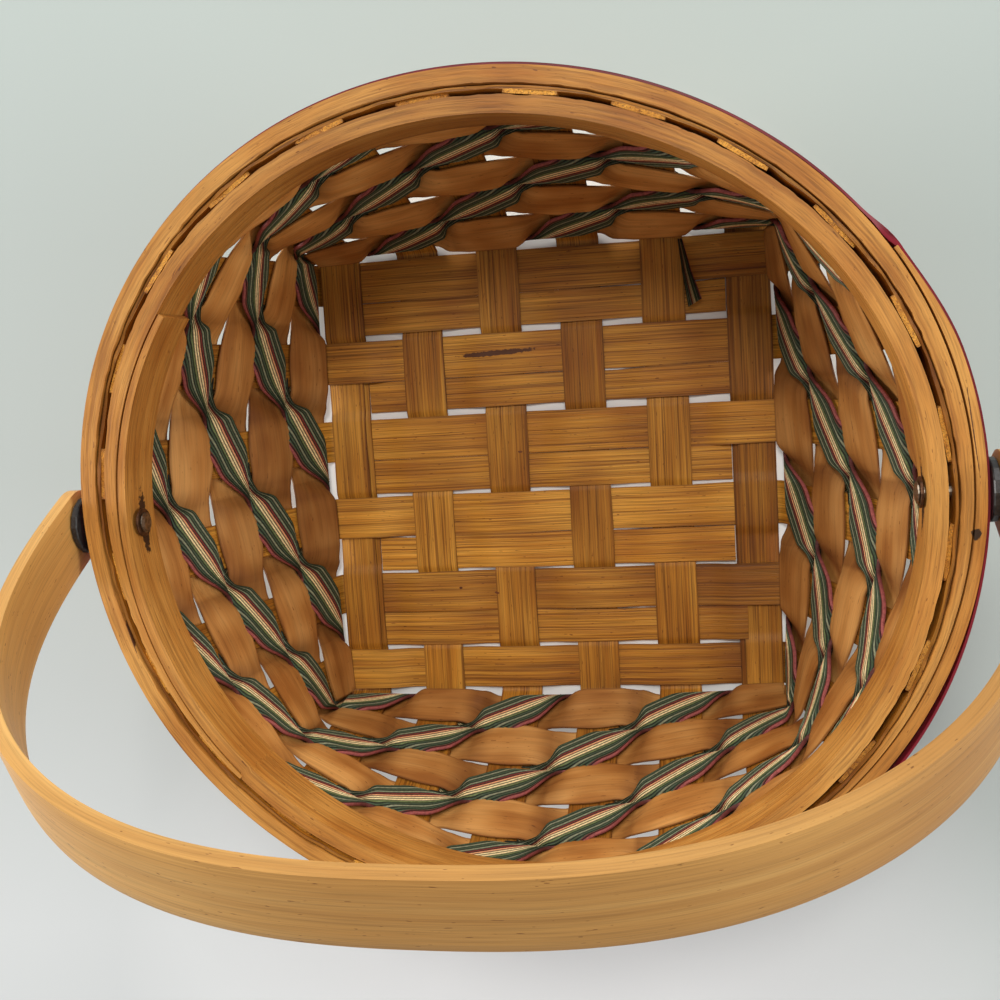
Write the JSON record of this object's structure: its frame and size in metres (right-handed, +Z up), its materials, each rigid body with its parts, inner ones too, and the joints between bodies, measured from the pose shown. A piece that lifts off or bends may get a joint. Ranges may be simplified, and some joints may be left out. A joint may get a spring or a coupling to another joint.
{
  "type": "pie basket",
  "caption": "Round-rimmed, square-bottomed woven splint basket with ribbon-twined walls and a swinging bentwood handle.",
  "frame": {"origin": "On the table under the middle of the base, where the plane through the two handle rivets crosses it.", "axes": "+X runs from the left rivet to the right one, +Y points away from the side that the handle leans to, and +Z points up."},
  "size_m": [0.331, 0.2953, 0.2645],
  "materials": {
    "base_splint": "fibrous, oiled",
    "wall_splint": "smooth, stained honey brown",
    "wall_ribbon": "woven stripes",
    "hoop_wood": "stained, satin",
    "handle_wood": "stained, satin",
    "stained_strip": "burgundy stain, satin",
    "washer_black": "black, satin",
    "rivet_metal": "dull"
  },
  "bodies": {
    "basket": {"side_stake_1": "base_splint", "side_stake_2": "base_splint", "side_stake_3": "base_splint", "side_stake_4": "base_splint", "side_stake_5": "base_splint", "side_stake_6": "base_splint", "front_stake_1": "base_splint", "front_stake_2": "base_splint", "front_stake_3": "base_splint", "front_stake_4": "base_splint", "front_stake_5": "base_splint", "front_stake_6": "base_splint", "filler_splint_1": "base_splint", "filler_splint_2": "base_splint", "filler_splint_3": "base_splint", "filler_splint_4": "base_splint", "filler_splint_5": "base_splint", "edge_cover_left": "base_splint", "edge_cover_right": "base_splint", "wall_splint_1": "wall_splint", "wall_splint_2": "wall_splint", "wall_splint_3": "wall_splint", "wall_splint_4": "wall_splint", "wall_splint_5": "wall_splint", "wall_ribbon_1": "wall_ribbon", "wall_ribbon_2": "wall_ribbon", "wall_ribbon_3": "wall_ribbon", "wall_ribbon_4": "wall_ribbon", "wall_ribbon_5": "wall_ribbon", "inner_hoop": "hoop_wood", "outer_hoop": "hoop_wood", "rim_strip": "stained_strip", "channel_splint": "base_splint", "rivet_left": "rivet_metal", "rivet_right": "rivet_metal", "washer_left": "washer_black", "washer_right": "washer_black", "burr_left": "rivet_metal", "burr_right": "rivet_metal"},
    "handle": {"handle": "handle_wood"}
  },
  "joints": [
    {"name": "handle_swing", "type": "hinge", "parent": "basket", "child": "handle", "pos_m": [0, 0, 0.1131], "axis": [1, 0, 0], "range_deg": [-152, 99]}
  ]
}
